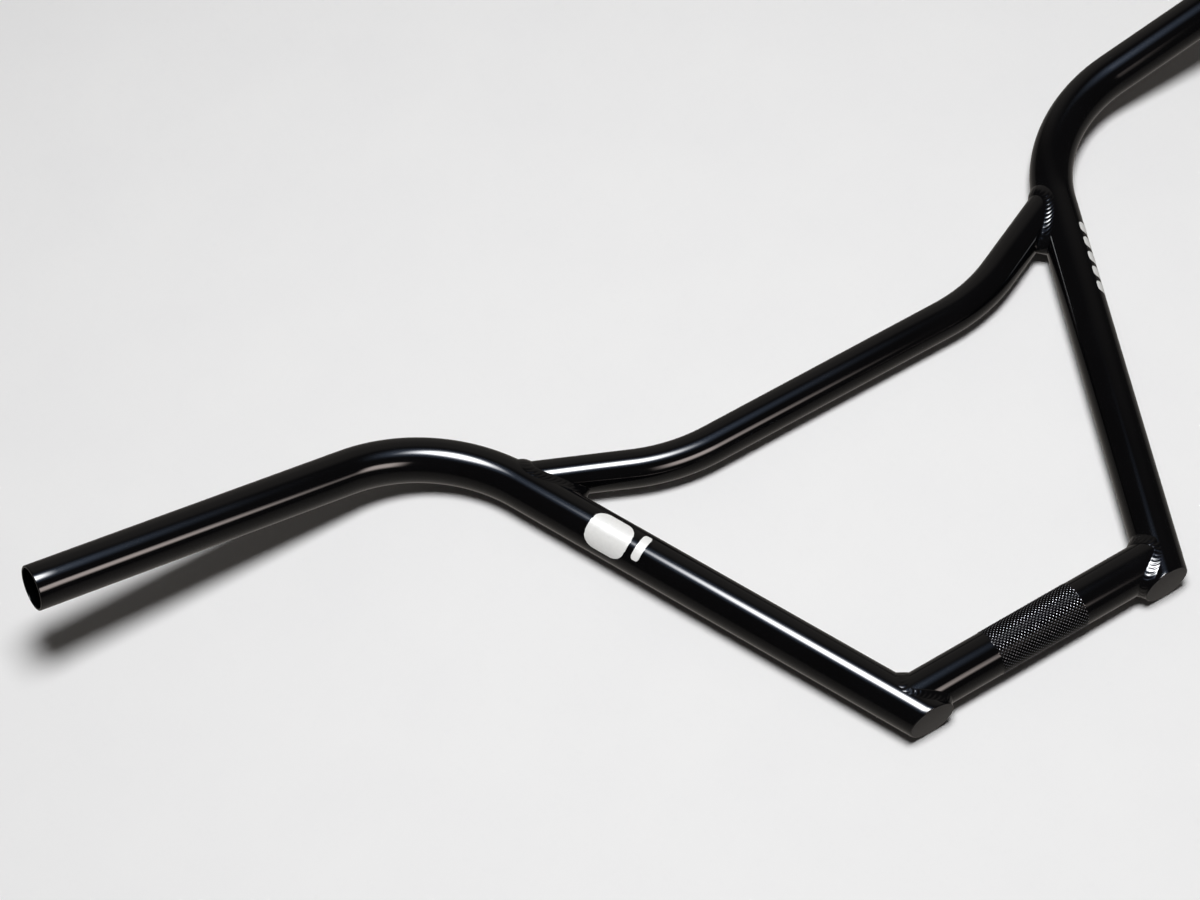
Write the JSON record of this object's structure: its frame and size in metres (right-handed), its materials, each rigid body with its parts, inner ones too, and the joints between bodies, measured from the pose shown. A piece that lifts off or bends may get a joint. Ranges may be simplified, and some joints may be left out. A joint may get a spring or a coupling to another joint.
{
  "type": "bmx handlebar",
  "caption": "High-rise welded steel bicycle handlebar with a bent crossbar, a knurled stem clamp band, capped leg ends and swept-back open grip tubes.",
  "frame": {"origin": "centre of the clamp tube, on its axis", "axes": "+X is the rider's right along the clamp tube, +Y is the way the bar rises, +Z is the way the grips sweep back and points up from the ground as the bar lies"},
  "size_m": [0.7846, 0.2707, 0.0694],
  "materials": {
    "gloss_black_paint": "gloss black paint over welded steel tube"
  },
  "bodies": {
    "root": {"clamp_tube": "gloss_black_paint", "crossbar": "gloss_black_paint", "left_side_tube": "gloss_black_paint", "right_side_tube": "gloss_black_paint", "left_leg_cap": "gloss_black_paint", "right_leg_cap": "gloss_black_paint", "left_clamp_weld": "gloss_black_paint", "right_clamp_weld": "gloss_black_paint", "left_crossbar_weld": "gloss_black_paint", "right_crossbar_weld": "gloss_black_paint"}
  },
  "joints": []
}
